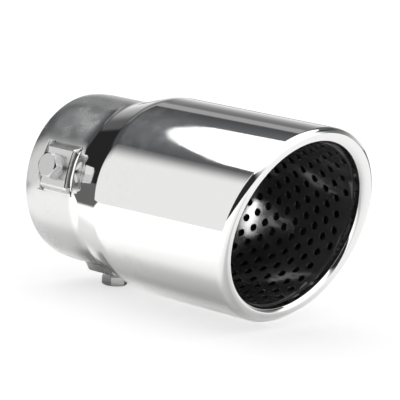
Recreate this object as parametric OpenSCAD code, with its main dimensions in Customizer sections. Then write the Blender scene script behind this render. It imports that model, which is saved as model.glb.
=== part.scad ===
// Bolt-on exhaust tip with a slash-cut rolled lip, a perforated inner tube and three clamp bolts.
// The axis of the tip is +X: the inlet mouth is at the origin and the outlet faces +X.
// The long side of the slash cut is on top, towards +Z.

/* [Shell] */
// Outside diameter of the inlet neck
neck_od = 72; // [64:0.5:76]
// How far the body stands out from the neck, all round
flare_rise = 5.3; // [4:0.1:9]
// Thickness of the sheet that the shell is pressed from
shell_wall = 1.2; // [1:0.1:1.4]
// Length of the neck, up to the corner where the flare starts
neck_len = 31.5; // [31:0.5:38]
// Distance along the axis in which the neck widens to the body
flare_len = 19; // [14:0.5:26]
// Bend radius between the neck and the flare, on the outer face
neck_bend = 16; // [4:0.5:17]
// Bend radius between the flare and the body, on the outer face
shoulder_bend = 20; // [4:0.5:30]
// How far the sheet's outer face is drawn in at the inlet mouth
mouth_ease = 0.5; // [0.1:0.05:0.7]
// Length of the neck over which it is drawn in
mouth_ease_len = 7; // [4:0.5:9]
// Length on the axis, from the inlet mouth to the plane of the lip
tip_len = 125.2; // [110:0.2:150]
// Slant of the outlet, from a square cut
slash_angle = 15; // [0:0.5:20]

/* [Rolled lip] */
// Width of the roll, from the body's outer face to the opening
lip_width = 6.5; // [5.6:0.1:7.6]
// Straight length of the roll's outer leg, before it joins the body
lip_outer_leg = 1; // [0.8:0.1:3]
// Straight length of the roll's inner leg, which turns back into the tip
lip_inner_leg = 2; // [0.5:0.1:4]

/* [Clamp straps] */
// Distance from the inlet mouth to the middle of the straps and to the bolts
strap_x = 20; // [17:0.5:20.5]
// Length of each window in the neck, along the axis
window_len = 17.6; // [16.4:0.2:18]
// Slit between a strap's edge and the end of its window, at the strap's feet
strap_slit = 0.4; // [0.3:0.05:0.6]
// How far each edge of a strap is drawn in at its middle
strap_waist = 0.8; // [0.2:0.1:0.9]
// Height of a strap's flat face over the crown of the neck
strap_rise = 2.2; // [2.2:0.05:3]
// Width of a strap's flat face, across the axis
strap_flat_w = 16.8; // [16:0.2:17.6]
// Width across a strap's feet, on the outer face of the neck
strap_foot_w = 19.8; // [19.2:0.2:21]
// Radius of the bend at each edge of the flat face, on its outer side
strap_bend = 1.6; // [1.4:0.1:2]
// Radius of the hollow bend where each foot meets the neck
strap_foot_bend = 1.2; // [0.5:0.1:1.8]
// How far the slits run on past a strap's feet
slit_run = 0.8; // [0.4:0.1:1.4]
// Angles of the straps round the axis, from the top
strap_angles = [75, 180, 285];

/* [Inner tube] */
// How far the tube's outer face stands outside the neck's bore, so that it can't pass
liner_step = 0.35; // [0.2:0.05:0.7]
// Thickness of the perforated sheet
liner_wall = 0.8; // [0.6:0.1:1]
// Holes in each ring
liner_ring_holes = 32; // [24:2:34]
// Diameter of the holes
liner_hole_d = 3.2; // [2.4:0.1:3.4]
// Distance between neighbouring rings of holes
liner_ring_pitch = 5.45; // [5:0.05:7]
// Distance from the tube's inner end to its first ring of holes
liner_first_ring = 3.4; // [3:0.1:6]
// Plain border left at the slanted end, beyond the holes
liner_border = 0.8; // [0.6:0.1:3]

/* [Fasteners] */
// Thread diameter of the bolts
bolt_d = 6; // [5:0.5:6.5]
// Width across the flats of a bolt's head
head_af = 10; // [9.6:0.1:11]
// Height of a bolt's head
head_h = 4; // [3:0.1:5]
// Outside diameter of a spring washer
washer_od = 10.6; // [10:0.1:11.6]
// Thickness of a spring washer
washer_t = 1.6; // [1.2:0.1:2]
// Gap of the cut through a spring washer
washer_split = 0.9; // [0.5:0.1:1.4]
// Width of a plate nut, across the axis
nut_w = 13; // [11:0.2:13.4]
// Length of a plate nut, along the axis
nut_len = 14; // [12:0.2:14.4]
// Thickness of a plate nut
nut_t = 2; // [1.4:0.1:2.1]

/* [Hidden] */
$fn = 96;
// Room between the shank and its holes, on the radius
thread_gap = 0.05;
strap_hole_gap = 0.3;
washer_hole_gap = 0.15;
// Gap between the inner tube and what holds it at each end
liner_gap = 0.1;
// Gap between a plate nut and the strap over it
nut_gap = 0.02;
// Distance from the pipe's bore to the tips of the bolts
tip_gap = 0.3;
// How far the lip's faceted ring covers the two faces of the body's edge, and its depth on it
lap = 0.03;
lap_depth = 0.4;
// Sides of the lip's ring and steps in each round stretch
lip_sides = 120;
curl_steps = 9;
bend_steps = 6;
// Longer than the whole part, for cutting tools
reach = 300;

neck_r = neck_od / 2;
bore_r = neck_r - shell_wall;
body_r = neck_r + flare_rise;
mouth_r = body_r - lip_width;
flare_end = neck_len + flare_len;
flare_angle = atan(flare_rise / flare_len);
// The inner face of a bent sheet has its corners this much further along
inner_shift = shell_wall * tan(flare_angle / 2);
// Radius of the long round that draws the inlet mouth in
ease_r = (mouth_ease_len * mouth_ease_len + mouth_ease * mouth_ease) / (2 * mouth_ease);

curl_wall = shell_wall + 2 * lap;
curl_r = (body_r + lap - mouth_r) / 2;
lip_back = curl_r + lip_outer_leg;
leg_back = curl_r + lip_inner_leg;

liner_r = bore_r + liner_step;
// The inner tube stops where the flare's inner face is one gap outside it
throat_x = neck_len + inner_shift + (liner_r + liner_gap - bore_r) / tan(flare_angle);
liner_front = tip_len - leg_back - liner_gap;
hole_margin = liner_hole_d / 2 + liner_border;
ring_count = ceil((liner_front + liner_r * tan(slash_angle) - throat_x) / liner_ring_pitch);

strap_len = window_len - 2 * strap_slit;
strap_top = neck_r + strap_rise;
flat_u = strap_flat_w / 2;
foot_u = strap_foot_w / 2;
foot_v = sqrt(neck_r * neck_r - foot_u * foot_u);
ramp = unit([foot_u - flat_u, foot_v - strap_top]);
ramp_in = [ramp[1], -ramp[0]] * shell_wall;
// Radius that draws a strap's edge in by its waist over the width of the flat face
waist_r = (flat_u * flat_u + strap_waist * strap_waist) / (2 * strap_waist);
nut_top = strap_top - shell_wall - nut_gap;
head_seat = strap_top + washer_t;
shank_len = head_seat - bore_r - tip_gap;

function unit(v) = v / norm(v);

// Points of the round between the lines a-p and p-b, with radius r
function round_corner(a, p, b, r, n = bend_steps) =
    let (
        u = unit(a - p),
        w = unit(b - p),
        half = acos(u * w) / 2,
        c = p + unit(u + w) * r / sin(half),
        s = p + u * r / tan(half) - c,
        e = p + w * r / tan(half) - c,
        from = atan2(s[1], s[0]),
        turn = (atan2(e[1], e[0]) - from + 540) % 360 - 180
    )
    [for (i = [0 : n]) c + r * [cos(from + turn * i / n), sin(from + turn * i / n)]];

function arc(c, r, from, to, n) =
    [for (i = [0 : n]) c + r * [cos(from + (to - from) * i / n), sin(from + (to - from) * i / n)]];

// Turns a shape made along +Z so that it runs along +X
module along_axis() {
    rotate([0, 90, 0]) children();
}

// Places a shape made at the top of the neck at each strap
module at_straps() {
    for (a = strap_angles) rotate([a, 0, 0]) translate([strap_x, 0, 0]) children();
}

// All that lies beyond the slanted plane that crosses the axis at x
module beyond_slash(x) {
    translate([x, 0, 0])
        rotate([0, slash_angle, 0])
            translate([0, -reach / 2, -reach / 2]) cube(reach);
}

// Section of the neck, the flare and the body: radius across, distance along the axis up
module shell_section() {
    outer = [[neck_r, mouth_ease_len], [neck_r, neck_len], [body_r, flare_end], [body_r, reach]];
    inner = [
        [bore_r, 0],
        [bore_r, neck_len + inner_shift],
        [body_r - shell_wall, flare_end + inner_shift],
        [body_r - shell_wall, reach]
    ];
    polygon(concat(
        arc([neck_r - ease_r, mouth_ease_len], ease_r, -asin(mouth_ease_len / ease_r), 0, bend_steps),
        round_corner(outer[0], outer[1], outer[2], neck_bend),
        round_corner(outer[1], outer[2], outer[3], shoulder_bend),
        [outer[3], inner[3]],
        round_corner(inner[3], inner[2], inner[1], shoulder_bend - shell_wall),
        round_corner(inner[2], inner[1], inner[0], neck_bend + shell_wall),
        [inner[0]]
    ));
}

// Section of the rolled lip, with the plane of the lip at zero
module lip_section() {
    c = [mouth_r + curl_r, -curl_r];
    polygon(concat(
        [[body_r + lap, -lip_back]],
        arc(c, curl_r, 0, 180, curl_steps),
        [[mouth_r, -leg_back], [mouth_r + curl_wall, -leg_back]],
        arc(c, curl_r - curl_wall, 180, 0, curl_steps),
        [[body_r + lap - curl_wall, -lip_back]]
    ));
}

module rolled_lip() {
    translate([tip_len, 0, 0])
        multmatrix([
            [1, 0, tan(slash_angle), 0],
            [0, 1, 0, 0],
            [0, 0, 1, 0],
            [0, 0, 0, 1]
        ])
            along_axis() rotate_extrude($fn = lip_sides) lip_section();
}

// Half of a strap's bent section, across the axis and up: the sheet runs down through the neck's wall
module strap_half_section() {
    corner = [flat_u, strap_top];
    foot = [foot_u, foot_v];
    out = foot / neck_r;
    past_foot = foot + [out[1], -out[0]] * 2 * strap_foot_bend;
    inner_flat = [0, strap_top - shell_wall];
    inner_corner = corner + ramp_in + ramp * (-shell_wall - ramp_in[1]) / ramp[1];
    polygon(concat(
        [[0, strap_top]],
        round_corner([0, strap_top], corner, foot, strap_bend),
        round_corner(corner, foot, past_foot, strap_foot_bend),
        [foot - out * shell_wall, foot + ramp_in + ramp * shell_wall],
        round_corner(foot + ramp_in, inner_corner, inner_flat, strap_bend - shell_wall),
        [inner_flat]
    ));
}

// The bridge that is cut free along two slits and pressed out of the neck, with its bolt hole
module strap() {
    difference() {
        rotate([90, 0, 90]) translate([0, 0, -strap_len / 2]) linear_extrude(strap_len) {
            strap_half_section();
            mirror([1, 0]) strap_half_section();
        }
        for (side = [-1, 1])
            translate([side * (strap_len / 2 - strap_waist + waist_r), 0, 0])
                cylinder(h = reach, r = waist_r);
        cylinder(h = reach, d = bolt_d + 2 * strap_hole_gap);
        rotate([0, 90, 0]) cylinder(h = reach, r = bore_r, center = true);
    }
}

// The hole that a strap leaves in the neck, between the inner faces of its feet, and its two slits
module window() {
    half_w = foot_u + ramp_in[0];
    slit_w = foot_u + slit_run;
    translate([-window_len / 2, -half_w, 0]) cube([window_len, 2 * half_w, reach]);
    for (x = [-window_len / 2, window_len / 2 - strap_slit])
        translate([x, -slit_w, 0]) cube([strap_slit, 2 * slit_w, reach]);
}

module outer_shell() {
    color("gainsboro") {
        difference() {
            along_axis() rotate_extrude() shell_section();
            beyond_slash(tip_len - lip_back + lap_depth);
            at_straps() window();
        }
        rolled_lip();
        at_straps() strap();
    }
}

// One drill for each hole that keeps its border inside the slanted end
module liner_holes() {
    step = 360 / liner_ring_holes;
    for (i = [0 : ring_count], j = [0 : liner_ring_holes - 1]) {
        x = throat_x + liner_first_ring + i * liner_ring_pitch;
        a = step * (j + (i % 2) / 2);
        if (x + hole_margin < liner_front + liner_r * cos(a) * tan(slash_angle))
            rotate([a, 0, 0])
                translate([x, 0, liner_r - 2 * liner_wall])
                    cylinder(h = 3 * liner_wall, d = liner_hole_d, $fn = 32);
    }
}

module perforated_liner() {
    color("dimgray") difference() {
        translate([throat_x, 0, 0]) along_axis() cylinder(h = reach, r = liner_r);
        along_axis() cylinder(h = reach + throat_x + 1, r = liner_r - liner_wall);
        beyond_slash(liner_front);
        liner_holes();
    }
}

// Hexagon head with a chamfered top, a corner towards the outlet, and a shank that ends clear of the bore
module bolt() {
    corner_r = head_af / sqrt(3);
    tip = 0.6;
    translate([0, 0, head_seat]) intersection() {
        cylinder(h = head_h, r = corner_r, $fn = 6);
        rotate_extrude() polygon([
            [0, 0],
            [corner_r, 0],
            [corner_r, head_h - (corner_r - head_af / 2 * 0.95) * tan(30)],
            [head_af / 2 * 0.95, head_h],
            [0, head_h]
        ]);
    }
    translate([0, 0, head_seat - shank_len]) {
        cylinder(h = tip, r1 = bolt_d / 2 - tip, r2 = bolt_d / 2);
        translate([0, 0, tip]) cylinder(h = shank_len - tip, d = bolt_d);
    }
}

module clamp_bolts() {
    color("silver") at_straps() bolt();
}

// A flat ring with one slanting cut
module lock_washers() {
    color("darkgray") at_straps() translate([0, 0, strap_top]) difference() {
        cylinder(h = washer_t, d = washer_od);
        translate([0, 0, -1]) cylinder(h = washer_t + 2, r = bolt_d / 2 + washer_hole_gap);
        translate([0, 0, washer_t / 2]) rotate([0, 25, 60])
            translate([-washer_split / 2, 0, -washer_t]) cube([washer_split, washer_od, 2 * washer_t]);
    }
}

// A square threaded plate under each strap
module plate_nuts() {
    color("gray") at_straps() translate([0, 0, nut_top - nut_t]) difference() {
        translate([-nut_len / 2, -nut_w / 2, 0]) cube([nut_len, nut_w, nut_t]);
        translate([0, 0, -1]) cylinder(h = nut_t + 2, r = bolt_d / 2 + thread_gap);
    }
}

outer_shell();
perforated_liner();
clamp_bolts();
lock_washers();
plate_nuts();
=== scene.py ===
"""An exhaust tip: a polished body with a slash-cut rolled lip, a satin neck with three clamp bolts on
pressed-out straps, and a black perforated inner tube.

The tip lies along X with its inlet at 0. Its sizes are in millimetres until a mesh is made, and the stage and
the materials are in metres. r is a distance from the axis, and azimuth an angle round it, from +Z towards
-Y."""

import math

import bpy
from mathutils import Matrix, Vector


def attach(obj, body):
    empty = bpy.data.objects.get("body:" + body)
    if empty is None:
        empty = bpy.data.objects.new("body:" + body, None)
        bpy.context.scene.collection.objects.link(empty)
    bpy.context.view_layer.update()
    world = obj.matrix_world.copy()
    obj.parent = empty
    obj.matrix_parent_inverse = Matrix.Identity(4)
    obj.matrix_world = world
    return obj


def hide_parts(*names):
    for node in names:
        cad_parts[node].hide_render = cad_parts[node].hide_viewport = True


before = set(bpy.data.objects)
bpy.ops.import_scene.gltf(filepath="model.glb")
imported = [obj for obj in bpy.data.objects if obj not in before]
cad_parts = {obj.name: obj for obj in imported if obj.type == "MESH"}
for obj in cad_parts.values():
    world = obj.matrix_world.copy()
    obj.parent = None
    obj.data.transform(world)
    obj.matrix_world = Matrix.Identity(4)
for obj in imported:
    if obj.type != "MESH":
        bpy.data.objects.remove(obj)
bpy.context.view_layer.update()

MM = 0.001

# Shell
neck_r = 36.0
body_r = 41.3
sheet = 1.2
neck_len = 31.5
flare_len = 19.0
neck_bend = 16.0
shoulder_bend = 20.0
mouth_ease = 0.5
mouth_ease_len = 7.0
rim_round = 0.3
tip_len = 125.2
slash = math.tan(math.radians(15.0))
mouth_r = 34.8
inner_leg = 2.0
shell_columns = 288

# Straps
strap_azimuths = (75.0, 180.0, 285.0)
strap_x = 20.0
window_len = 17.6
strap_len = 16.8
strap_waist = 0.8
strap_top = 38.2
flat_half = 8.4
foot_half = 9.9
slit_half = 10.7
strap_bend = 1.6
foot_bend = 1.2
strap_hole_r = 3.3
top_steps = 8

# A strap's edges towards the inlet and the outlet are turned down to the neck. At its feet they are only
# rounded. The turn is full at turned_edge_rise above the neck, where turned_edge_thinning is the part of the
# sheet's thickness that is lost.
foot_edge_round = 0.2
turned_edge_round = 1.1
turned_edge_rise = 1.6
turned_edge_below = 0.1
turned_edge_thinning = 0.3
edge_bevel = 0.12

# Inner tube
tube_r = 35.15
tube_wall = 0.8
tube_start = 33.28
tube_front = 119.8
ring_holes = 32
hole_r = 1.6
hole_chamfer = 0.12
ring_pitch = 5.45
first_ring = 3.4
hole_border = 0.8
hole_sides = 16

# Fasteners
bolt_r = 3.0
thread_pitch = 1.0
thread_depth = 0.5
thread_gap = 0.05
thread_rows_per_turn = 8
tip_chamfer = 0.6
head_af = 10.0
head_h = 4.0
head_top_share = 0.95
head_chamfer = 30.0
head_edge_round = 0.3
head_bevel = 0.1
washer_r = 5.3
washer_bore_r = 3.15
washer_t = 1.6
washer_split = 0.9
washer_edge_round = 0.22
nut_size = (14.0, 13.0, 2.0)
nut_corner_round = 1.0
nut_bevel = 0.25
nut_gap = 0.02
tip_gap = 0.3

bore_r = neck_r - sheet
curl_r = (body_r - mouth_r) / 2
flare_angle = math.degrees(math.atan2(body_r - neck_r, flare_len))
window_half = math.degrees(math.asin(slit_half / neck_r))
window_x = (strap_x - window_len / 2, strap_x + window_len / 2)


# Mesh building

class Skin:
    """Collects faces with a normal at each corner. Corners at the same place share one vertex."""

    def __init__(self):
        self.points = []
        self.index = {}
        self.faces = []
        self.normals = []

    def face(self, corners):
        """corners is a list of (point, normal) that runs round the face as seen from outside. Where a normal
        is None, it is the face's own."""
        ids = []
        normals = []
        for point, normal in corners:
            key = tuple(round(c, 4) for c in point)
            i = self.index.setdefault(key, len(self.points))
            if i == len(self.points):
                self.points.append(Vector(point))
            if i not in ids:
                ids.append(i)
                normals.append(normal)
        if len(ids) < 3:
            return
        if None in normals:
            a, b, c = (self.points[i] for i in ids[:3])
            flat = (b - a).cross(c - a).normalized()
            normals = [flat if n is None else n for n in normals]
        self.faces.append(ids)
        self.normals.extend(Vector(n).normalized() for n in normals)

    def grid(self, rows, wrap=False, keep=None):
        """Quads between neighbouring rows of (point, normal). wrap joins each row's end to its start. keep
        says for a row and a column whether the quad there is made."""
        for i, (row, next_row) in enumerate(zip(rows, rows[1:])):
            count = len(row)
            for j in range(count if wrap else count - 1):
                if keep is None or keep(i, j):
                    k = (j + 1) % count
                    self.face([row[j], row[k], next_row[k], next_row[j]])

    def make(self, name):
        mesh = bpy.data.meshes.new(name)
        mesh.from_pydata([p * MM for p in self.points], [], self.faces)
        mesh.polygons.foreach_set("use_smooth", [True] * len(self.faces))
        mesh.normals_split_custom_set(self.normals)
        return link(name, mesh)


def link(name, data):
    """A new object in the scene."""
    thing = bpy.data.objects.new(name, data)
    bpy.context.scene.collection.objects.link(thing)
    return thing


def turn(vector, degrees):
    """A flat vector turned anticlockwise."""
    a = math.radians(degrees)
    return Vector((vector[0] * math.cos(a) - vector[1] * math.sin(a),
                   vector[0] * math.sin(a) + vector[1] * math.cos(a)))


def arc(cx, cr, radius, start, end, steps, side=1):
    """(x, r, nx, nr) round a circle in a half plane through the axis. side -1 turns the normals inwards."""
    rows = []
    for i in range(steps + 1):
        a = math.radians(start + (end - start) * i / steps)
        c, s = math.cos(a), math.sin(a)
        rows.append((cx + radius * c, cr + radius * s, side * c, side * s))
    return rows


def rounded_path(corners, radii, steps, closed=False):
    """Points and left-hand normals along straight lines, with a round of steps at each inner corner."""
    corners = [Vector(c) for c in corners]
    count = len(corners)
    path = []
    for i, corner in enumerate(corners):
        if not closed and i in (0, count - 1):
            a, b = (corners[0], corners[1]) if i == 0 else (corners[-2], corners[-1])
            path.append((corner, turn((b - a).normalized(), 90)))
            continue
        into = (corner - corners[i - 1]).normalized()
        out = (corners[(i + 1) % count] - corner).normalized()
        angle = math.degrees(math.atan2(into.x * out.y - into.y * out.x, into.dot(out)))
        radius = radii[i] if closed else radii[i - 1]
        start = corner - into * radius * math.tan(math.radians(abs(angle) / 2))
        sign = 1 if angle > 0 else -1
        centre = start + turn(into, 90) * radius * sign
        for k in range(steps + 1):
            normal = turn(into, 90 + angle * k / steps)
            path.append((centre - normal * radius * sign, normal))
    return path


def spin(x, r, nx, nr, shear, azimuth):
    """A point and normal of a shell turned about X. shear is 1 where the shell follows the slash, and 0 where
    it is square to the axis."""
    a = math.radians(azimuth)
    s, c = math.sin(a), math.cos(a)
    return (x + shear * slash * r * c, -r * s, r * c), (nx, -nr * s, nr * c - shear * slash * nx)


def placed(azimuth, point, normal):
    """Moves a point and normal of a shape made round +Z to a strap's place."""
    rotation = Matrix.Rotation(math.radians(azimuth), 3, "X")
    return rotation @ Vector(point) + Vector((strap_x, 0, 0)), rotation @ Vector(normal)


# Outer shell

def shell_profile():
    """The shell's closed section as rows of (x, r, nx, nr, shear). It runs from the bore's edge at the inlet
    along the outer face to the rolled lip, and back along the inner face."""
    ease_r = (mouth_ease_len ** 2 + mouth_ease ** 2) / (2 * mouth_ease)
    ease_centre = neck_r - ease_r
    rim_r = ease_centre + math.sqrt((ease_r - rim_round) ** 2 - (mouth_ease_len - rim_round) ** 2)
    rim_turn = math.degrees(math.atan2(rim_r - ease_centre, rim_round - mouth_ease_len))
    bend_x = neck_len - neck_bend * math.tan(math.radians(flare_angle / 2))
    shoulder_x = neck_len + flare_len + shoulder_bend * math.tan(math.radians(flare_angle / 2))
    window_rows = [window_x[0] + (window_x[1] - window_x[0]) * i / 6 for i in range(7)]

    neck = arc(rim_round, bore_r + rim_round, rim_round, 270, 180, 5)
    neck += arc(rim_round, rim_r, rim_round, 180, rim_turn, 5)
    neck += arc(mouth_ease_len, ease_centre, ease_r, rim_turn, 90, 8)
    neck += [(x, neck_r, 0, 1) for x in window_rows]
    neck += arc(bend_x, neck_r + neck_bend, neck_bend, 270, 270 + flare_angle, 14, -1)
    neck += arc(shoulder_x, body_r - shoulder_bend, shoulder_bend, 90 + flare_angle, 90, 16)
    rows = [row + (0,) for row in neck]

    body_rows = 14
    lip_x = tip_len - curl_r
    for i in range(1, body_rows):
        share = i / body_rows
        rows.append((shoulder_x + (lip_x - shoulder_x) * share, body_r, 0, 1, share))
    leg_x = lip_x - inner_leg + sheet / 2
    lip = arc(lip_x, mouth_r + curl_r, curl_r, 90, -90, 32)
    lip += arc(leg_x, mouth_r + sheet / 2, sheet / 2, 270, 90, 8)
    lip += arc(lip_x, mouth_r + curl_r, curl_r - sheet, -90, 90, 16, -1)
    rows += [row + (1,) for row in lip]
    for i in range(body_rows - 1, 0, -1):
        share = i / body_rows
        rows.append((shoulder_x + (lip_x - shoulder_x) * share, body_r - sheet, 0, -1, share))

    inside = arc(shoulder_x, body_r - shoulder_bend, shoulder_bend - sheet, 90, 90 + flare_angle, 10, -1)
    inside += arc(bend_x, neck_r + neck_bend, neck_bend + sheet, 270 + flare_angle, 270, 10)
    inside += [(x, bore_r, 0, -1) for x in reversed(window_rows)]
    inside += [(mouth_ease_len, bore_r, 0, -1), (rim_round, bore_r, 0, -1)]
    return rows + [row + (0,) for row in inside]


def off_centre(azimuth, centre):
    """The angle from centre to azimuth, between -180 and 180 degrees."""
    return (azimuth - centre + 180) % 360 - 180


def outer_shell():
    """The shell's surface, left open at the windows under the straps, which get walls of their own."""
    azimuths = {round(360 * j / shell_columns, 6) for j in range(shell_columns)}
    for a in strap_azimuths:
        azimuths |= {round((a + side * window_half) % 360, 6) for side in (-1, 1)}
    azimuths = sorted(azimuths)
    count = len(azimuths)
    profile = shell_profile()
    rows = [[spin(*row, a) for a in azimuths] for row in profile]

    def solid(i, j):
        x = (profile[i][0] + profile[i + 1][0]) / 2
        next_azimuth = azimuths[(j + 1) % count] + (360 if j + 1 == count else 0)
        middle = (azimuths[j] + next_azimuth) / 2
        beside = all(abs(off_centre(middle, a)) >= window_half for a in strap_azimuths)
        return beside or not window_x[0] < x < window_x[1]

    skin = Skin()
    skin.grid(rows, wrap=True, keep=solid)
    window_walls(skin, profile, azimuths)
    return skin.make("shell")


def window_walls(skin, profile, azimuths):
    """The sheet's cut edges round the three windows in the neck."""
    near, far = window_x
    slack = 0.01
    outer_rows = [row for row in profile if row[1] == neck_r and row[3] == 1]
    xs = [row[0] for row in outer_rows if near - slack < row[0] < far + slack]

    def across_sheet(x, azimuth, normal):
        outer = spin(x, neck_r, 0, 1, 0, azimuth)[0]
        inner = spin(x, bore_r, 0, 1, 0, azimuth)[0]
        return (outer, normal), (inner, normal)

    def wall(spots, normal, flip):
        for a, b in zip(spots, spots[1:]):
            outer, inner = across_sheet(*a, normal)
            next_outer, next_inner = across_sheet(*b, normal)
            face = [outer, next_outer, next_inner, inner]
            skin.face([next_outer, outer, inner, next_inner] if flip else face)

    for centre in strap_azimuths:
        inside = [a for a in azimuths if abs(off_centre(a, centre)) < window_half + slack / 10]
        inside.sort(key=lambda a: off_centre(a, centre))
        wall([(near, a) for a in inside], (1, 0, 0), True)
        wall([(far, a) for a in inside], (-1, 0, 0), False)
        for side in (-1, 1):
            azimuth = (centre + side * window_half) % 360
            across = math.radians(azimuth)
            normal = (0, side * math.cos(across), side * math.sin(across))
            wall([(x, azimuth) for x in xs], normal, side < 0)


# Straps

def strap_section():
    """Points and normals (across, up) over a strap's upper face, from one slit's end to the other."""
    foot_up = math.sqrt(neck_r ** 2 - foot_half ** 2)
    end_up = math.sqrt(neck_r ** 2 - slit_half ** 2)
    corners = [(-slit_half, end_up), (-foot_half, foot_up), (-flat_half, strap_top),
               (flat_half, strap_top), (foot_half, foot_up), (slit_half, end_up)]
    section = rounded_path(corners, (foot_bend, strap_bend, strap_bend, foot_bend), 8)
    for i in (0, -1):
        section[i] = (section[i][0], section[i][0].normalized())
    return section


def strap_reach(across):
    """Half of a strap's length along the axis, drawn in at its middle."""
    waist_r = (flat_half ** 2 + strap_waist ** 2) / (2 * strap_waist)
    if abs(across) >= flat_half:
        return strap_len / 2
    return strap_len / 2 - strap_waist + waist_r - math.sqrt(waist_r ** 2 - across ** 2)


def edge_ring(point, normal):
    """The outline of a strap at one point of its section. It runs round the strap's edge towards the outlet,
    below it, round its other edge, and back over the top. Both edges are turned down towards the neck."""
    half = strap_reach(point.x)
    step = 0.01
    slope = (strap_reach(point.x + step) - strap_reach(point.x - step)) / (2 * step)
    along = turn(normal, -90)
    rise = max(0, point.length - neck_r)
    share = min(1, rise / turned_edge_rise)
    bend = foot_edge_round + (turned_edge_round - foot_edge_round) * share
    depth = max(sheet, rise + turned_edge_below)
    inner = half - sheet * (1 - turned_edge_thinning * share)
    edge = []
    for k in range(5):
        a = math.radians(22.5 * k)
        out, up = math.sin(a), math.cos(a)
        edge.append((half - bend * (1 - out), bend * (1 - up), out, up))
    edge += [(half, depth - edge_bevel, 1, 0), (half - edge_bevel, depth, 0, -1),
             (inner + edge_bevel, depth, 0, -1), (inner, max(sheet, depth - edge_bevel), -1, 0),
             (inner, sheet, -1, 0), (inner - edge_bevel, sheet, 0, -1)]
    shares = [1 - 2 * k / top_steps for k in range(1, top_steps)]
    ring = edge + [(edge[-1][0] * share, sheet, 0, -1) for share in shares]
    ring += [(-x, depth, -out, up) for x, depth, out, up in reversed(edge)]
    ring += [(-edge[0][0] * share, 0, 0, 1) for share in shares]
    spots = []
    for x, depth, out, up in ring:
        spot = point - normal * depth
        n = normal * up - along * slope * abs(out)
        spots.append(((x, spot.x, spot.y), (out, n.x, n.y)))
    return spots


def strap(azimuth, name):
    """A strap of the neck's sheet, with the bolt's hole in its flat top."""
    section = strap_section()
    flat = [i for i, (p, n) in enumerate(section) if n.y > 0.99999 and abs(p.x) < flat_half]
    first, last = flat[0], flat[-1]
    start, end = section[first][0].x, section[last][0].x
    steps = 12
    spots = [Vector((start + (end - start) * i / steps, strap_top)) for i in range(steps + 1)]
    rings = [edge_ring(spot, Vector((0, 1))) for spot in spots]
    skin = Skin()

    def in_place(row):
        return [placed(azimuth, *spot) for spot in row]

    for part in (section[:first + 1], section[last:]):
        skin.grid([in_place(edge_ring(p, n)) for p, n in part], wrap=True)

    # The flat top and the face below it are left open here, and are made round the hole after this
    last_edge = (len(rings[0]) - 2 * (top_steps - 1)) // 2 - 1
    below = range(last_edge, last_edge + top_steps)
    above = range(2 * last_edge + top_steps, 2 * last_edge + 2 * top_steps)
    skin.grid([in_place(ring) for ring in rings], wrap=True,
              keep=lambda i, j: j not in below and j not in above)
    for columns, up in ((above, 1), (below, -1)):
        near, far = (0, columns[0]) if up > 0 else (columns[0], columns[-1] + 1)
        inner_columns = list(columns)[1:]
        across = inner_columns[::-1] if up > 0 else inner_columns
        outline = [ring[near][0] for ring in rings] + [rings[-1][k][0] for k in across]
        outline += [ring[far][0] for ring in reversed(rings)] + [rings[0][k][0] for k in reversed(across)]
        shrink = [strap_hole_r / math.hypot(x, y) for x, y, _ in outline]
        hole = [(x * s, y * s, z) for (x, y, z), s in zip(outline, shrink)]
        if up > 0:
            wall = [(p, (-p[0], -p[1], 0)) for p in hole]
            wall_foot = [((x, y, z - sheet), n) for (x, y, z), n in wall]
            skin.grid([in_place(wall), in_place(wall_foot)], wrap=True)
        else:
            outline.reverse()
            hole.reverse()
        count = len(outline)
        for k in range(count):
            m = (k + 1) % count
            skin.face(in_place([(p, (0, 0, up)) for p in (outline[k], outline[m], hole[m], hole[k])]))
    for spot, n in (section[0], section[-1]):
        normal = placed(azimuth, (0, 0, 0), (0, spot.x, 0))[1]
        cap = [(p, normal) for p, _ in in_place(edge_ring(spot, n))]
        skin.face(cap if spot.x > 0 else cap[::-1])
    return skin.make(name)


# Inner tube

def tube_end(azimuth, radius):
    """X of the tube's slanted end."""
    return tube_front + radius * math.cos(math.radians(azimuth)) * slash


def tube_point(radius, x, azimuth, normal):
    """A point of the tube, not past its slanted end. normal is along the radius, round and along the axis."""
    a = math.radians(azimuth)
    s, c = math.sin(a), math.cos(a)
    out, around, along = normal
    return ((min(x, tube_end(azimuth, radius)), -radius * s, radius * c),
            (along, -out * s - around * c, out * c - around * s))


def hole_spots(radius, x, azimuth, size):
    """Round a hole's edge on the tube: (x, azimuth, cosine, sine) of each point."""
    spots = []
    for k in range(hole_sides):
        a = 2 * math.pi * k / hole_sides
        c, s = math.cos(a), math.sin(a)
        spots.append((x + size * s, azimuth + math.degrees(math.asin(size * c / radius)), c, s))
    return spots


def hole_cell(skin, radius, side, x, azimuth, drilled, hole_size):
    """One cell of the tube's inner (side -1) or outer (side 1) face, with its hole where it is drilled. The
    cell's border has as many points as the hole."""
    half_step = 180 / ring_holes
    half_pitch = ring_pitch / 2
    border = [(1, k / 2) for k in range(3)] + [(1 - k / 2, 1) for k in range(1, 5)]
    border += [(-1, 1 - k / 2) for k in range(1, 5)] + [(-1 + k / 2, -1) for k in range(1, 5)]
    border += [(1, -0.5)]
    normal = (side, 0, 0)
    outer = [tube_point(radius, x + v * half_pitch, azimuth + u * half_step, normal) for u, v in border]
    if drilled:
        inner = [tube_point(radius, *spot[:2], normal) for spot in hole_spots(radius, x, azimuth, hole_size)]
    else:
        inner = [tube_point(radius, x, azimuth, normal)] * hole_sides
    for k in range(hole_sides):
        m = (k + 1) % hole_sides
        face = [outer[k], outer[m], inner[m], inner[k]]
        # What lies past the slanted end is flattened onto it and left out
        if drilled or any(p[0] < tube_front + p[2] * slash - 0.001 for p, _ in face):
            skin.face(face if side > 0 else face[::-1])


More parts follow.
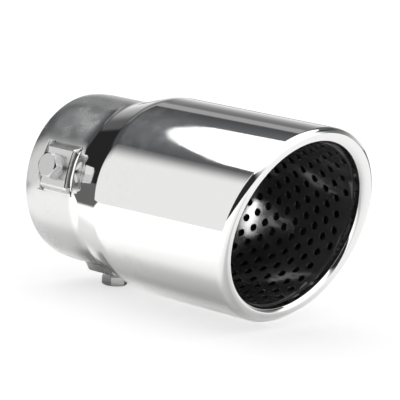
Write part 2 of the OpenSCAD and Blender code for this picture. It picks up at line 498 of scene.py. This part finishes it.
def hole_ring(radius, x, azimuth, size, lean):
    """Points round a hole at one depth, with normals towards its axis that lean along the radius."""
    level = 1 - abs(lean)
    return [tube_point(radius, spot_x, spot_azimuth, (lean, -level * c, -level * s))
            for spot_x, spot_azimuth, c, s in hole_spots(radius, x, azimuth, size)]


def perforated_tube():
    """The tube has rings of holes, every other ring turned by half a step. The slanted end cuts no hole."""
    inner_r = tube_r - tube_wall
    step = 360 / ring_holes
    margin = hole_r + hole_border
    rings = math.ceil((tube_front + tube_r * slash - tube_start) / ring_pitch) + 1
    wide = hole_r + hole_chamfer
    skin = Skin()
    for i in range(rings):
        x = tube_start + first_ring + i * ring_pitch
        for j in range(ring_holes):
            azimuth = step * (j + (i % 2) / 2)
            drilled = x + margin < tube_end(azimuth, tube_r)
            hole_cell(skin, tube_r, 1, x, azimuth, drilled, hole_r)
            hole_cell(skin, inner_r, -1, x, azimuth, drilled, wide)
            if drilled:
                walls = ((tube_r, hole_r, 0), (inner_r + hole_chamfer, hole_r, 0),
                         (inner_r + hole_chamfer, hole_r, -0.4), (inner_r, wide, -0.6))
                skin.grid([hole_ring(r, x, azimuth, size, lean) for r, size, lean in walls], wrap=True)
    azimuths = [step / 4 * k for k in range(4 * ring_holes)]
    first_edge = tube_start + first_ring - ring_pitch / 2
    inward, backward, outward = (-1, 0, 0), (0, 0, -1), (1, 0, 0)
    back = ((inner_r, first_edge, inward), (inner_r, tube_start, inward), (inner_r, tube_start, backward),
            (tube_r, tube_start, backward), (tube_r, tube_start, outward), (tube_r, first_edge, outward))
    skin.grid([[tube_point(r, x, a, n) for a in azimuths] for r, x, n in back], wrap=True)
    past_end = tube_front + tube_r
    front = [[tube_point(r, past_end, a, (0, 0, 1)) for a in azimuths] for r in (tube_r, inner_r)]
    skin.grid(front, wrap=True)
    return skin.make("perforated_tube")


# Fasteners

def densify(path, step):
    """Adds points along the straight stretches of a closed path."""
    dense = []
    for (p, n), (q, m) in zip(path, path[1:] + path[:1]):
        dense.append((p, n))
        if (n - m).length < 0.001:
            count = int((q - p).length / step)
            dense += [(p.lerp(q, k / (count + 1)), n) for k in range(1, count + 1)]
    return dense


def thread_radius(x, y, z, plain_from):
    """Radius of the screw thread at a height, with the crest fading out above plain_from."""
    phase = (z / thread_pitch + math.atan2(y, x) / (2 * math.pi)) % 1
    fade = min(1, max(0, (plain_from - z) / thread_pitch))
    return bolt_r - thread_depth * abs(2 * phase - 1) * fade


def thread_rows(outline, low, high, plain_from, tip=0.0, gap=0.0, facing=1):
    """Rows of a thread's surface in the directions of outline, from low to high. tip is the chamfer at low,
    gap is added to the radius, and facing -1 turns the normals to the axis."""
    rows = []
    steps = max(2, round((high - low) / thread_pitch * thread_rows_per_turn))
    small = 0.02

    def radius(x, y, z):
        limit = bolt_r - max(0, tip - (z - low))
        return min(limit, thread_radius(x, y, z, plain_from)) + gap

    for i in range(steps + 1):
        z = low + (high - low) * i / steps
        row = []
        for p, _ in outline:
            d = p.normalized()
            r = radius(d.x, d.y, z)
            slope = (radius(d.x, d.y, z + small) - radius(d.x, d.y, z - small)) / (2 * small)
            row.append(((d.x * r, d.y * r, z), (facing * d.x, facing * d.y, -facing * slope)))
        rows.append(row)
    return rows


def flat_row(outline, inset, z, normal=None):
    """The outline drawn in by inset, at one height. normal None keeps the outline's own."""
    row = []
    for p, n in outline:
        spot = p - n * inset
        row.append(((spot.x, spot.y, z), normal or (n.x, n.y, 0)))
    return row


def round_row(outline, radius, z, tilt):
    """A circle in the directions of outline, at one height. Its normals are tilt degrees from the axis."""
    out, up = math.sin(math.radians(tilt)), math.cos(math.radians(tilt))
    row = []
    for p, _ in outline:
        d = p.normalized()
        row.append(((d.x * radius, d.y * radius, z), (d.x * out, d.y * out, up)))
    return row


def bolt(azimuth, name):
    """Hexagon head with a chamfered top, a corner towards the outlet, and a short threaded shank."""
    seat = strap_top + washer_t
    shank = seat - bore_r - tip_gap
    top_r = head_af / 2 * head_top_share
    corner = Vector((head_af / math.sqrt(3), 0))
    corners = [turn(corner, -60 * k) for k in range(6)]
    outline = densify(rounded_path(corners, [head_edge_round] * 6, 4, closed=True)[::-1], step=0.4)

    def cone_z(radius):
        return head_h - max(0, radius - top_r) * math.tan(math.radians(head_chamfer))

    side_top, cone_low = [], []
    out, up = math.sin(math.radians(head_chamfer)), math.cos(math.radians(head_chamfer))
    for p, n in outline:
        d = p.normalized()
        side_top.append(((p.x, p.y, cone_z(p.length) - head_bevel), (n.x, n.y, 0)))
        r = p.length - head_bevel
        cone_low.append(((d.x * r, d.y * r, cone_z(r)), (d.x * out, d.y * out, up)))
    rows = thread_rows(outline, -shank, 0, plain_from=-shank / 3, tip=tip_chamfer)
    rows.append([(p, (0, 0, -1)) for p, _ in rows[-1]])
    rows += [flat_row(outline, head_bevel, 0, (0, 0, -1)), flat_row(outline, 0, head_bevel)]
    rows += [side_top, cone_low, round_row(outline, top_r, head_h, head_chamfer)]
    rows.append(round_row(outline, top_r - head_bevel, head_h, 0))
    rows += [round_row(outline, top_r * share, head_h, 0) for share in (0.8, 0.4)]
    rows = [[placed(azimuth, (x, y, z + seat), n) for (x, y, z), n in row] for row in rows]
    skin = Skin()
    skin.grid(rows, wrap=True)
    outward = placed(azimuth, (0, 0, 0), (0, 0, 1))[1]
    skin.face([(p, outward) for p, _ in rows[-1]])
    skin.face([(p, -outward) for p, _ in reversed(rows[0])])
    return skin.make(name)


def spring_washer(azimuth, name):
    """A square-section ring with one slanting cut, on the far side from the outlet."""
    corners = [(washer_bore_r, washer_t), (washer_r, washer_t), (washer_r, 0), (washer_bore_r, 0)]
    section = rounded_path(corners, [washer_edge_round] * 4, 3, closed=True)
    cut_at, lean, steps = 150, 25, 72
    gap = math.degrees(washer_split / 2 / ((washer_r + washer_bore_r) / 2))
    rows = []
    for i in range(steps + 1):
        base = cut_at + gap + (360 - 2 * gap) * i / steps
        row = []
        for p, n in section:
            a = math.radians(base) + (p.y - washer_t / 2) * math.tan(math.radians(lean)) / p.x
            c, s = math.cos(a), math.sin(a)
            row.append(placed(azimuth, (p.x * c, p.x * s, p.y + strap_top), (n.x * c, n.x * s, n.y)))
        rows.append(row)
    skin = Skin()
    skin.grid(rows, wrap=True)
    skin.face([(p, None) for p, _ in rows[-1]])
    skin.face([(p, None) for p, _ in reversed(rows[0])])
    return skin.make(name)


def plate_nut(azimuth, name):
    """A square plate with rounded edges and a threaded hole."""
    length, width, thickness = nut_size
    x, y = length / 2, width / 2
    high = strap_top - sheet - nut_gap
    low = high - thickness
    corners = [(-x, -y), (-x, y), (x, y), (x, -y)]
    outline = densify(rounded_path(corners, [nut_corner_round] * 4, 4, closed=True)[::-1], step=0.8)
    thread = thread_rows(outline, low, high, plain_from=high + thread_pitch, gap=thread_gap, facing=-1)
    rows = [[(p, (0, 0, -1)) for p, _ in thread[0]],
            flat_row(outline, nut_bevel, low, (0, 0, -1)), flat_row(outline, 0, low + nut_bevel),
            flat_row(outline, 0, high - nut_bevel), flat_row(outline, nut_bevel, high, (0, 0, 1)),
            [(p, (0, 0, 1)) for p, _ in thread[-1]]]
    rows += thread[::-1]
    skin = Skin()
    skin.grid([[placed(azimuth, *spot) for spot in row] for row in rows], wrap=True)
    return skin.make(name)


# Node helpers

class Nodes:
    """Short forms for the shader nodes used here. A number or a socket goes in wherever a value is wanted."""

    def __init__(self, tree):
        self.tree = tree
        tree.nodes.clear()

    def add(self, kind, inputs=None, **settings):
        node = self.tree.nodes.new(kind)
        for key, value in settings.items():
            setattr(node, key, value)
        for key, value in (inputs or {}).items():
            self.feed(node.inputs[key], value)
        return node

    def feed(self, socket, value):
        if isinstance(value, bpy.types.NodeSocket):
            self.tree.links.new(value, socket)
        else:
            socket.default_value = value

    def math(self, operation, a, b=0.0):
        return self.add("ShaderNodeMath", {0: a, 1: b}, operation=operation).outputs[0]

    def times(self, *factors):
        """The product of two or more values."""
        product = factors[0]
        for factor in factors[1:]:
            product = self.math("MULTIPLY", product, factor)
        return product

    def split(self, vector):
        """The sockets of a vector's x, y and z."""
        parts = self.add("ShaderNodeSeparateXYZ", {0: vector})
        return [parts.outputs[k] for k in "XYZ"]

    def rays(self):
        """1 for what the camera sees directly, and 1 for what polished surfaces mirror."""
        path = self.add("ShaderNodeLightPath")
        mirror = self.math("MAXIMUM", path.outputs["Is Glossy Ray"], path.outputs["Is Transmission Ray"])
        return path.outputs["Is Camera Ray"], mirror

    def between(self, value, low, high, start=0.0, end=1.0):
        """Goes smoothly from start to end as value goes from low to high."""
        node = self.add("ShaderNodeMapRange", {"Value": value, "From Min": low, "From Max": high,
                                               "To Min": start, "To Max": end})
        node.interpolation_type = "SMOOTHSTEP"
        return node.outputs["Result"]

    def mix(self, share, a, b):
        """A colour, from a where share is 0 to b where it is 1."""
        node = self.add("ShaderNodeMix", data_type="RGBA")
        self.feed(node.inputs["Factor"], share)
        self.feed(node.inputs[6], a)
        self.feed(node.inputs[7], b)
        return node.outputs[2]

    def blend(self, share, a, b):
        """A number, from a where share is 0 to b where it is 1."""
        node = self.add("ShaderNodeMix", {"Factor": share}, data_type="FLOAT")
        self.feed(node.inputs[2], a)
        self.feed(node.inputs[3], b)
        return node.outputs[0]

    def noise(self, where, scale, detail=2.0, roughness=0.5):
        node = self.add("ShaderNodeTexNoise", {"Vector": where, "Scale": scale, "Detail": detail,
                                               "Roughness": roughness})
        return node.outputs["Fac"]

    def bump(self, height, distance, normal=None):
        """A normal for dents as deep as distance. normal is that of coarser dents beneath them."""
        node = self.add("ShaderNodeBump", {"Height": height, "Distance": distance, "Strength": 1.0})
        if normal is not None:
            self.feed(node.inputs["Normal"], normal)
        return node.outputs["Normal"]

    def stretched(self, where, factors):
        return self.add("ShaderNodeVectorMath", {0: where, 1: factors}, operation="MULTIPLY").outputs[0]


def grey(level):
    return (level, level, level, 1.0)


def material(name):
    """A new material with its helper, its shader node and the object's coordinates in metres."""
    made = bpy.data.materials.new(name)
    made.use_nodes = True
    nodes = Nodes(made.node_tree)
    shader = nodes.add("ShaderNodeBsdfPrincipled")
    output = nodes.add("ShaderNodeOutputMaterial")
    made.node_tree.links.new(shader.outputs["BSDF"], output.inputs["Surface"])
    where = nodes.add("ShaderNodeTexCoord").outputs["Object"]
    return made, nodes, shader, where


# Materials

def polished_steel():
    """Mirror-polished sheet on the body and lip, a softer satin finish on the neck, and painted shade inside:
    near-black, matte inner faces.
    """
    made, nodes, shader, where = material("polished_steel")
    x, y, z = nodes.split(where)
    facing_x, facing_y, facing_z = nodes.split(nodes.add("ShaderNodeNewGeometry").outputs["Normal"])

    # Shares of the inside, near-black and matte as painted shade, the polished body, and the raw ends of the
    # neck's sheet
    outward = nodes.math("ADD", nodes.times(y, facing_y), nodes.times(z, facing_z))
    depth = nodes.math("SUBTRACT", x, nodes.times(z, slash))
    inside = nodes.times(nodes.between(outward, -0.002, -0.012), nodes.between(depth, 0.120, 0.119),
                         nodes.between(x, 0.006, 0.008))
    polish = nodes.between(x, 0.026, 0.031)
    cut = nodes.times(nodes.between(nodes.math("ABSOLUTE", facing_x), 0.6, 0.85),
                      nodes.math("SUBTRACT", 1.0, polish))

    blotches = nodes.noise(where, 150.0, 3.0)
    satin = nodes.between(blotches, 0.3, 0.7, 0.21, 0.28)
    shine = nodes.between(blotches, 0.3, 0.7, 0.035, 0.06)
    rough = nodes.blend(cut, nodes.blend(polish, satin, shine), 0.5)
    nodes.feed(shader.inputs["Roughness"], nodes.blend(inside, rough, 0.95))

    smudges = nodes.between(nodes.noise(where, 190.0, 5.0, 0.62), 0.42, 0.66, 0.0, 0.055)
    haze = nodes.times(smudges, nodes.between(x, 0.048, 0.053), nodes.between(x, 0.092, 0.062))
    nodes.feed(shader.inputs["Metallic"], nodes.math("SUBTRACT", nodes.math("SUBTRACT", 1.0, inside), haze))

    tint = nodes.mix(polish, (0.61, 0.61, 0.605, 1), (0.80, 0.80, 0.795, 1))
    tint = nodes.mix(cut, tint, grey(0.48))
    # Painted shade: the inside gets a near-black colour
    nodes.feed(shader.inputs["Base Color"], nodes.mix(inside, tint, grey(0.025)))

    streaks = nodes.noise(nodes.stretched(where, (900.0, 60.0, 60.0)), 1.0, 3.0)
    waves = nodes.bump(blotches, 0.000007)
    nodes.feed(shader.inputs["Normal"], nodes.bump(streaks, 0.0000004, waves))
    return made


def black_steel():
    """Baked glossy black paint on the perforated tube."""
    made, nodes, shader, where = material("black_steel")
    blotches = nodes.noise(where, 90.0, 3.0)
    nodes.feed(shader.inputs["Base Color"], nodes.mix(blotches, grey(0.038), (0.054, 0.054, 0.057, 1)))
    nodes.feed(shader.inputs["Roughness"], nodes.between(blotches, 0.3, 0.7, 0.07, 0.13))
    nodes.feed(shader.inputs["IOR"], 1.6)
    nodes.feed(shader.inputs["Normal"], nodes.bump(nodes.noise(where, 700.0, 2.0), 0.000006))
    return made


def turned_steel(name, level, roughness):
    """Bright fastener steel with fine tool marks."""
    made, nodes, shader, where = material(name)
    marks = nodes.noise(where, 1500.0, 3.0, 0.6)
    nodes.feed(shader.inputs["Base Color"], nodes.mix(marks, grey(level * 0.94), grey(level)))
    nodes.feed(shader.inputs["Metallic"], 1.0)
    nodes.feed(shader.inputs["Roughness"], nodes.between(marks, 0.3, 0.7, roughness * 0.85, roughness * 1.15))
    nodes.feed(shader.inputs["Normal"], nodes.bump(marks, 0.000006))
    return made


# Stage
floor_z = -0.0445
floor_half = 12.0
overhead_z = 0.6
overhead_light = 1.6
wall_distance = 0.26
wall_slope = 0.942
inlet_light_x = 0.006
inlet_light_r = 0.0345
inlet_light_strength = 20.0


def studio_world():
    """Plain white for the camera, and for diffuse light a sky that is dim near the horizon and bright
    overhead. Polished
    metal sees the studio: a dark front, a tall light on the right, a backdrop that darkens upwards behind the
    tip, and a gap between the backdrop and the left wall. Angles are in degrees, and azimuth here goes round
    Z from +X towards +Y."""
    world = bpy.data.worlds.new("studio")
    bpy.context.scene.world = world
    world.use_nodes = True
    nodes = Nodes(world.node_tree)
    x, y, z = nodes.split(nodes.add("ShaderNodeTexCoord").outputs["Generated"])
    degree = math.degrees(1)
    elevation = nodes.times(nodes.math("ARCSINE", z), degree)
    azimuth = nodes.times(nodes.math("ARCTAN2", y, x), degree)

    # Behind the tip, from the right to the left wall
    slate = nodes.mix(nodes.between(elevation, 34.0, 44.0), (0.085, 0.090, 0.096, 1),
                      (0.150, 0.156, 0.164, 1))
    backdrop = nodes.mix(nodes.between(elevation, -6.0, 24.0), grey(1.1), grey(0.20))
    backdrop = nodes.mix(nodes.between(elevation, 24.0, 34.0), backdrop, slate)
    band = nodes.times(nodes.between(elevation, 25.0, 27.0), nodes.between(azimuth, 126.0, 134.0))
    backdrop = nodes.mix(band, backdrop, grey(0.40))
    backdrop = nodes.mix(nodes.between(elevation, 32.0, 33.0), backdrop, slate)
    column = nodes.mix(nodes.between(elevation, -15.0, 0.0), grey(0.55), grey(0.20))
    column = nodes.mix(nodes.between(elevation, 22.0, 30.0), column, grey(0.06))
    seen = nodes.mix(nodes.between(azimuth, 55.0, 92.0), column, backdrop)
    gap = nodes.mix(nodes.between(elevation, 22.0, 28.0), grey(0.022), slate)
    half_gap = nodes.mix(0.45, gap, backdrop)
    seen = nodes.mix(nodes.between(azimuth, 152.0, 160.0), seen, half_gap)
    seen = nodes.mix(nodes.between(azimuth, 166.0, 170.0), seen, gap)

    # Before the tip: the dark front, and the tall light with its slanted edge
    front = nodes.mix(nodes.between(elevation, -14.0, -6.0), grey(0.3), grey(0.025))
    top_left = nodes.times(nodes.between(elevation, 30.0, 36.0), nodes.between(azimuth, -100.0, -120.0))
    front = nodes.mix(top_left, front, slate)
    slant = nodes.times(elevation, nodes.math("ADD", nodes.times(elevation, 0.012), 0.9))
    light_edge = nodes.math("ADD", azimuth, slant)
    tall_light = nodes.times(nodes.between(light_edge, -16.0, 12.0), nodes.between(azimuth, 56.0, 40.0),
                             nodes.between(elevation, -12.0, -4.0))
    front = nodes.mix(tall_light, front, grey(1.4))
    seen = nodes.mix(nodes.between(azimuth, 56.0, 40.0), seen, front)
    seen = nodes.mix(nodes.between(azimuth, -150.0, -156.0), seen, gap)

    camera, mirror = nodes.rays()
    diffuse = nodes.mix(nodes.between(z, 0.1, 1.0), grey(0.12), grey(1.55))
    colour = nodes.mix(mirror, nodes.mix(camera, diffuse, grey(1.0)), seen)
    background = nodes.add("ShaderNodeBackground", {"Color": colour, "Strength": 1.0})
    output = nodes.add("ShaderNodeOutputWorld")
    world.node_tree.links.new(background.outputs[0], output.inputs["Surface"])


def card(name, corners, strength):
    """A glowing panel that only polished surfaces see. strength is a number, or a function that makes it."""
    mesh = bpy.data.meshes.new(name)
    mesh.from_pydata(corners, [], [list(range(len(corners)))])
    panel = link(name, mesh)
    made = bpy.data.materials.new(name)
    made.use_nodes = True
    nodes = Nodes(made.node_tree)
    if callable(strength):
        strength = strength(nodes)
    glow = nodes.add("ShaderNodeEmission", {"Color": grey(1.0), "Strength": strength})
    output = nodes.add("ShaderNodeOutputMaterial")
    made.node_tree.links.new(glow.outputs[0], output.inputs["Surface"])
    mesh.materials.append(made)
    panel.visible_camera = False
    panel.visible_diffuse = False
    panel.visible_shadow = False


def wall_level(nodes):
    """The light wall's brightness, which falls off towards its slanted top edge."""
    x, y, z = nodes.split(nodes.add("ShaderNodeTexCoord").outputs["Object"])
    along = nodes.times(nodes.math("SUBTRACT", x, y), math.sqrt(0.5))
    height = nodes.math("SUBTRACT", z, nodes.times(along, wall_slope))
    return nodes.between(height, 0.269, 0.129, 0.18, 1.0)


def studio_cards():
    """The light overhead, narrower towards the inlet, the light just inside the inlet, and the light wall
    that stands on the floor at the left."""
    outline = [(-0.488, 0.19), (-0.503, -0.325), (0.12, -0.62), (1.0, -0.62), (1.0, 0.5), (0.12, 0.46)]
    card("overhead", [(x, y, overhead_z) for x, y in outline], overhead_light)
    angles = [math.radians(120 + 3 * k) for k in range(28)]
    spots = [(inlet_light_x, inlet_light_r * math.cos(a), inlet_light_r * math.sin(a)) for a in angles]
    card("inlet_light", spots, inlet_light_strength)
    outward = Vector((-math.sqrt(0.5), -math.sqrt(0.5), 0)) * wall_distance
    across = Vector((math.sqrt(0.5), -math.sqrt(0.5), 0))
    outline = [(-0.085, floor_z), (-0.085, 0.189), (0.19, 0.448), (0.19, floor_z)]
    card("left_wall", [outward + across * s + Vector((0, 0, z)) for s, z in outline], wall_level)


def pale_floor():
    """White to the camera with a soft shadow. Polished metal sees it as brighter, with its full shadow and
    with painted shadows, a painted pool of light and painted shade.
    """
    mesh = bpy.data.meshes.new("floor")
    corners = [(-floor_half, -floor_half), (floor_half, -floor_half), (floor_half, floor_half),
               (-floor_half, floor_half)]
    mesh.from_pydata([(x, y, floor_z) for x, y in corners], [], [(0, 1, 2, 3)])
    floor = link("floor", mesh)
    made, nodes, shader, where = material("floor")
    x, y, _ = nodes.split(where)

    def painted_patch(x_from, x_to, y_from, y_to, fade, factor):
        """Goes from 1 outside a rectangle of the floor to factor inside it: a painted shadow where factor is
        below 1, a painted pool of light where it is above.
        """
        share = nodes.times(nodes.between(x, x_from - fade, x_from), nodes.between(x, x_to + fade, x_to),
                            nodes.between(y, y_from - fade, y_from), nodes.between(y, y_to + fade, y_to))
        return nodes.between(share, 0.0, 1.0, 1.0, factor)

    # Painted light and shade that only polished metal sees: brighter towards the light wall, a painted shadow
    # along the tip's near side and two round the bottom bolt, and a painted pool of light under the body
    near_wall = nodes.math("SUBTRACT", nodes.times(y, -1.0), nodes.times(x, 0.6))
    brightness = nodes.times(nodes.between(near_wall, -0.06, 0.06, 1.05, 1.35),
                             painted_patch(-0.2, 0.3, -0.032, -0.024, 0.024, 0.72),
                             painted_patch(0.035, 0.10, -0.010, 0.022, 0.018, 2.1),
                             painted_patch(0.007, 0.030, -0.016, 0.015, 0.010, 0.60),
                             painted_patch(0.002, 0.020, 0.005, 0.035, 0.008, 0.30))
    # Painted shade: far past the inlet, polished metal sees the floor dark grey
    past_inlet = nodes.math("SUBTRACT", x, nodes.times(y, 0.5))
    mirrored = nodes.mix(nodes.between(past_inlet, -0.107, -0.080), grey(0.14), brightness)
    camera, mirror = nodes.rays()
    colour = nodes.mix(mirror, nodes.mix(camera, grey(0.9), grey(0.36)), mirrored)
    nodes.feed(shader.inputs["Base Color"], colour)
    nodes.feed(shader.inputs["Roughness"], 0.9)
    nodes.feed(shader.inputs["Specular IOR Level"], 0.0)
    nodes.feed(shader.inputs["Emission Color"], grey(1.0))
    nodes.feed(shader.inputs["Emission Strength"], nodes.times(camera, 0.68))
    mesh.materials.append(made)


# Camera

def photo_camera():
    """The photograph's viewpoint: a long lens from the front left, a little above the tip."""
    right = Vector((0.69996, 0.71158, 0.06093))
    up = Vector((-0.16827, 0.08141, 0.98237))
    back = Vector((0.69407, -0.69787, 0.17673))
    data = bpy.data.cameras.new("camera")
    data.sensor_width = 36.0
    data.lens = 229.56
    camera = link("camera", data)
    orientation = Matrix((right, up, back)).transposed().to_4x4()
    camera.matrix_world = Matrix.Translation((0.7972, -0.7329, 0.1867)) @ orientation
    bpy.context.scene.camera = camera


# Scene

def finish_piece(piece, node, slot):
    """Gives a piece its material, hides the CAD node it stands for, and hangs the piece under the root body.
    """
    piece.data.materials.append(materials[slot])
    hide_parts(node)
    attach(piece, "root")


photo_camera()
studio_world()
studio_cards()
pale_floor()
bpy.context.scene.view_settings.view_transform = "Standard"
materials = {
    "polished_steel": polished_steel(),
    "black_steel": black_steel(),
    "bolt_steel": turned_steel("bolt_steel", 0.56, 0.16),
    "spring_steel": turned_steel("spring_steel", 0.42, 0.30),
    "plain_steel": turned_steel("plain_steel", 0.38, 0.45),
}
finish_piece(outer_shell(), "outer_shell", "polished_steel")
for number, azimuth in enumerate(strap_azimuths, 1):
    finish_piece(strap(azimuth, f"strap_{number}"), "outer_shell", "polished_steel")
    finish_piece(bolt(azimuth, f"bolt_{number}"), "clamp_bolts", "bolt_steel")
    finish_piece(spring_washer(azimuth, f"washer_{number}"), "lock_washers", "spring_steel")
    finish_piece(plate_nut(azimuth, f"nut_{number}"), "plate_nuts", "plain_steel")
finish_piece(perforated_tube(), "perforated_liner", "black_steel")
